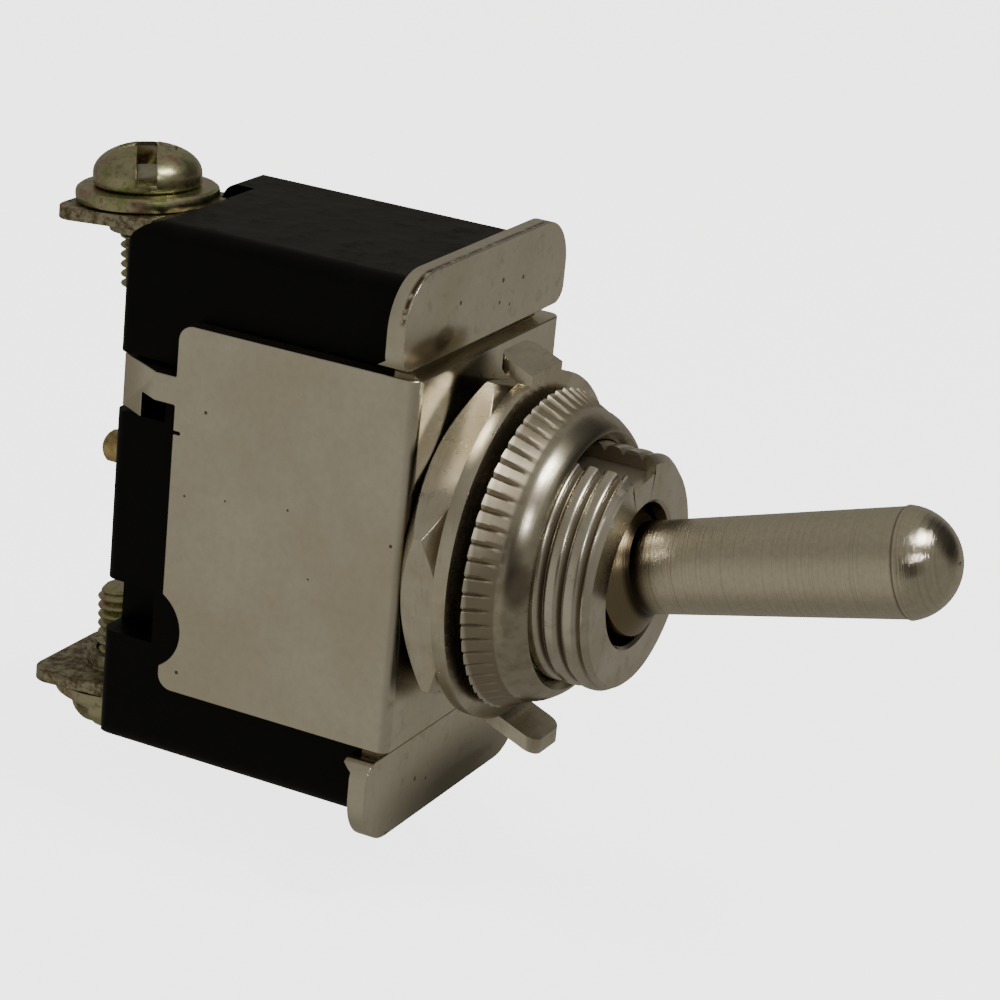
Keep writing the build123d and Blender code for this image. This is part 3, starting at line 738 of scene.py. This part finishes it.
# %% Nuts of stamped steel
stamped = Look("nickel_nut", Metallic=1.0)
sheared = stamped.noise(1.0, 4, 0.7, at=stamped.stretched(0.7, 5, 0.7))
clouds = stamped.step(stamped.noise(0.4, 4), 0.35, 0.7)
tone = stamped.mix(clouds, (0.68, 0.64, 0.53), (0.54, 0.48, 0.37))
tone = stamped.mix(stamped.times(stamped.step(sheared, 0.5, 0.75), 0.35), tone, (0.32, 0.25, 0.16))
pits = stamped.spots(0.7, 0.12, 0.2)
tone = stamped.mix(pits, tone, (0.1, 0.07, 0.04))
stamped.set(Base_Color=tone, Roughness=stamped.between(stamped.noise(0.8, 3), 0.2, 0.36))
stamped.bump(sheared, 0.16, 0.03)
paint(stamped, "hex_nut", "locating_ring")

# %% [markdown]
# The lever's turning marks run round its own axis, which leans up at rest. A place along that axis is a sum
# of the places along Y and Z. A fine line marks the shoulder where the round tip begins, and painted shade
# darkens the foot where it dips into the stem.

# %% Satin lever
LEVER_LEAN = radians(15.5)
LEVER_SHOULDER = 22.72
lever = Look("lever_nickel", Metallic=1.0)
along_y = lever.times(lever.y, cos(LEVER_LEAN))
along = lever.math("SUBTRACT", lever.times(lever.z, sin(LEVER_LEAN)), along_y)
marks = lever.add("ShaderNodeTexNoise", noise_dimensions="1D")
lever.feed(marks.inputs["W"], along)
marks.inputs["Scale"].default_value = 7
marks.inputs["Detail"].default_value = 6
marks.inputs["Roughness"].default_value = 0.8
tip = lever.step(along, LEVER_SHOULDER - 0.02, LEVER_SHOULDER + 0.02)
matt = lever.noise(3.5, 5, 0.7)
tone = lever.mix(lever.step(matt, 0.3, 0.7), (0.68, 0.63, 0.51), (0.6, 0.55, 0.43))
tone = lever.mix(lever.times(lever.step(marks.outputs[0], 0.48, 0.7), 0.4), tone, (0.34, 0.29, 0.2))
line_start = lever.step(along, LEVER_SHOULDER - 0.1, LEVER_SHOULDER)
line_end = lever.step(along, LEVER_SHOULDER + 0.1, LEVER_SHOULDER)
tone = lever.mix(lever.times(lever.times(line_start, line_end), 0.8), tone, (0.1, 0.075, 0.05))
# Painted shade: the foot fades to brown and then to a dark band where it dips into the stem.
tone = lever.mix(lever.step(along, 10.8, 9.4), tone, (0.26, 0.21, 0.13))
foot_shade = lever.times(lever.step(along, 10.0, 9.5), lever.step(along, 8.9, 9.2))
tone = lever.mix(lever.times(foot_shade, 0.9), tone, (0.03, 0.02, 0.012))
rough = lever.between(marks.outputs[0], 0.16, 0.36)
lever.set(Base_Color=tone, Roughness=lever.between(tip, rough, 0.13))
lever.bump(lever.math("ADD", marks.outputs[0], lever.times(matt, 0.08)), 0.5, 0.02)
paint(lever, "lever")

# %% [markdown]
# The case is a deep, dull black. Dust lies thinly in clouds, and the walls carry the faint waves of a
# moulding.

# %% Black moulding
black = Look("phenolic", Specular_IOR_Level=0.13)
dust = black.step(black.noise(0.7, 5, 0.7), 0.5, 0.8)
tone = black.mix(black.times(dust, 0.35), (0.002, 0.002, 0.0018), (0.006, 0.006, 0.0052))
black.set(Base_Color=tone, Roughness=black.between(dust, 0.42, 0.6))
waves = black.math("ADD", black.noise(0.35, 2), black.times(black.noise(5, 3), 0.08))
black.bump(waves, 0.35, 0.3)
paint(black, "housing")

# %% [markdown]
# The zinc on the screws and washers is yellow-green with a pink cast where its film is thicker, and the
# terminals are a mottled, dull brass.

# %% Screws and terminals
zinc = Look("yellow_zinc", Metallic=1.0)
film = zinc.noise(0.9, 4, 0.6, distortion=0.6)
tone = zinc.mix(zinc.step(film, 0.3, 0.52), (0.3, 0.34, 0.14), (0.46, 0.44, 0.28))
tone = zinc.mix(zinc.step(film, 0.52, 0.68), tone, (0.45, 0.29, 0.22))
spotting = zinc.step(zinc.noise(2.6, 5, 0.7), 0.5, 0.7)
tone = zinc.mix(zinc.times(spotting, 0.6), tone, (0.14, 0.11, 0.06))
zinc.set(Base_Color=tone, Roughness=zinc.between(zinc.noise(2, 3), 0.2, 0.42))
zinc.bump(zinc.noise(3, 4, 0.6), 0.3, 0.04)
ZINC_PARTS = ("screw_thread", "screw_head", "captive_washer")
paint(zinc, *[f"{where}_{part}" for where in TERMINALS for part in ZINC_PARTS])

dull = Look("terminal_brass", Metallic=1.0)
mottle = dull.noise(1.9, 6, 0.75)
tone = dull.mix(dull.step(mottle, 0.38, 0.6), (0.16, 0.12, 0.065), (0.46, 0.43, 0.31))
dull.set(Base_Color=tone, Roughness=dull.between(mottle, 0.6, 0.38))
dull.bump(mottle, 0.4, 0.1)
paint(dull, "upper_terminal", "lower_terminal")

# %% [markdown]
# The pieces inside are mostly out of sight, but the round post and the tail of a contact show from behind.
# They get one plain recipe: bare metal that is dulled in clouds.

# %% Parts inside
INSIDE = {
    "contact_brass": (
        (0.6, 0.46, 0.22),
        0.3,
        ["plunger", "contact_blade", "fulcrum_bracket", "centre_rivet"],
    ),
    "bare_steel": ((0.5, 0.5, 0.5), 0.3, ["lever_pin", "plunger_spring", "fulcrum_pin"]),
    "silver": ((0.42, 0.4, 0.34), 0.42, ["moving_contact", "fixed_contact"]),
}
for name, (color, roughness, nodes) in INSIDE.items():
    plain = Look(name, Metallic=1.0)
    cloud = plain.noise(1.4, 4, 0.65)
    dulled = tuple(0.5 * channel for channel in color)
    tone = plain.mix(plain.step(cloud, 0.42, 0.68), color, dulled)
    plain.set(Base_Color=tone, Roughness=plain.between(cloud, roughness - 0.1, roughness + 0.16))
    plain.bump(plain.noise(4, 4, 0.6), 0.2, 0.02)
    paint(plain, *nodes)

# %% [markdown]
# ## Studio
#
# Metal shows its surroundings, so the room matters as much as the material. The floor is plain and pale,
# and the camera sees a white backdrop. The metal sees neither of them, since they would wash it out: it
# reflects a dim, warm room with softly lighter and darker patches, placed where the photograph's metal is
# lighter and darker. Two small soft lights add the glints.

# %% Floor, room and lights
FLOOR_REACH = 3.0
FLOOR_LEVEL = -18 * MM
FLOOR_GLOW = 3.1
ROOM = 0.24
ROOM_TINT = (1, 0.95, 0.82, 1)
BACKDROP = 3.4

# Direction, cosines where the patch starts and is at its full, and strength; a negative one darkens
PATCHES = (
    ((0, 0, 1), 0.3, 0.9, 0.05),
    ((-0.85, 0.4, -0.35), 0.6, 1.0, 0.15),
    ((0.85, -0.41, -0.34), 0.85, 1.0, 0.03),
    ((0.68, -0.55, 0.48), 0.75, 0.95, -0.2),
    ((-0.86, -0.47, 0.18), 0.9, 0.98, -0.17),
)

signs = ((-1, -1), (1, -1), (1, 1), (-1, 1))
corners = [(x * FLOOR_REACH, y * FLOOR_REACH, FLOOR_LEVEL) for x, y in signs]
floor_mesh = bpy.data.meshes.new("floor")
floor_mesh.from_pydata(corners, [], [(0, 1, 2, 3)])
floor_piece = bpy.data.objects.new("floor", floor_mesh)
bpy.context.collection.objects.link(floor_piece)
floor_look = Look("pale_floor", Base_Color=(0.83, 0.83, 0.83), Roughness=0.9)
floor_look.set(Emission_Color=(1.0, 1.0, 1.0), Emission_Strength=FLOOR_GLOW)
floor_mesh.materials.append(floor_look.material)
floor_look.material.cycles.emission_sampling = "NONE"
floor_piece.visible_glossy = False
floor_piece.visible_diffuse = False

world = bpy.data.worlds.new("room")
bpy.context.scene.world = world
world.use_nodes = True
air = world.node_tree
direction = air.nodes.new("ShaderNodeTexCoord").outputs["Generated"]


def glow(toward, low, high, strength):
    """A soft patch on the room's wall, in the direction toward."""
    aim = air.nodes.new("ShaderNodeVectorMath")
    aim.operation = "DOT_PRODUCT"
    air.links.new(direction, aim.inputs[0])
    aim.inputs[1].default_value = Vector(toward).normalized()
    fade = air.nodes.new("ShaderNodeMapRange")
    fade.interpolation_type = "SMOOTHSTEP"
    air.links.new(aim.outputs["Value"], fade.inputs[0])
    for socket, value in zip(list(fade.inputs)[1:5], (low, high, 0, strength)):
        socket.default_value = value
    return fade.outputs[0]


wall = None
for patch in PATCHES:
    total = air.nodes.new("ShaderNodeMath")
    total.operation = "ADD"
    if wall is None:
        total.inputs[0].default_value = ROOM
    else:
        air.links.new(wall, total.inputs[0])
    air.links.new(glow(*patch), total.inputs[1])
    wall = total.outputs[0]
metal_view = air.nodes.new("ShaderNodeBackground")
metal_view.inputs["Color"].default_value = ROOM_TINT
air.links.new(wall, metal_view.inputs["Strength"])
backdrop = air.nodes.new("ShaderNodeBackground")
backdrop.inputs["Color"].default_value = (1, 1, 1, 1)
backdrop.inputs["Strength"].default_value = BACKDROP
path = air.nodes.new("ShaderNodeLightPath")
chooser = air.nodes.new("ShaderNodeMixShader")
air.links.new(path.outputs["Is Camera Ray"], chooser.inputs[0])
air.links.new(metal_view.outputs[0], chooser.inputs[1])
air.links.new(backdrop.outputs[0], chooser.inputs[2])
air.links.new(chooser.outputs[0], air.nodes["World Output"].inputs["Surface"])


def soft_light(name, place, size, power, color):
    lamp = bpy.data.lights.new(name, "AREA")
    lamp.shape = "RECTANGLE"
    lamp.size, lamp.size_y = size
    lamp.energy = power
    lamp.color = color
    piece = bpy.data.objects.new(name, lamp)
    bpy.context.collection.objects.link(piece)
    piece.location = place
    piece.rotation_euler = (-Vector(place)).to_track_quat("-Z", "Y").to_euler()
    print(name, "light of", power, "W")


soft_light("overhead", (-0.02, -0.15, 0.26), (0.1, 0.07), 0.42, (1, 0.98, 0.93))
soft_light("front_left", (-0.22, -0.23, 0.19), (0.03, 0.04), 0.14, (1, 0.98, 0.95))

# %% [markdown]
# ## Camera
#
# The camera stands where the photographer's did: its place, aim, roll and lens were solved from the
# photograph together with the object's sizes. Its axes are worked out here from the three angles.

# %% Camera
AZIMUTH = radians(-64.702)
ELEVATION = radians(19.693)
ROLL = radians(5.683)
CAMERA_PLACE = (-137.903, -66.372, 56.515)
LENS = 119.13

forward = Vector((-sin(AZIMUTH) * cos(ELEVATION), cos(AZIMUTH) * cos(ELEVATION), -sin(ELEVATION)))
level_right = Vector((cos(AZIMUTH), sin(AZIMUTH), 0))
level_up = level_right.cross(forward)
right = cos(ROLL) * level_right + sin(ROLL) * level_up
up = cos(ROLL) * level_up - sin(ROLL) * level_right
camera = bpy.data.objects.new("camera", bpy.data.cameras.new("camera"))
bpy.context.collection.objects.link(camera)
camera.data.lens = LENS
camera.data.sensor_width = 36
camera.data.clip_start = 0.001
camera.data.clip_end = 20
aim = Matrix((right, up, -forward)).transposed().to_4x4()
camera.matrix_world = Matrix.Translation([v * MM for v in CAMERA_PLACE]) @ aim
bpy.context.scene.camera = camera
print("camera distance in mm:", round(Vector(CAMERA_PLACE).length, 1))
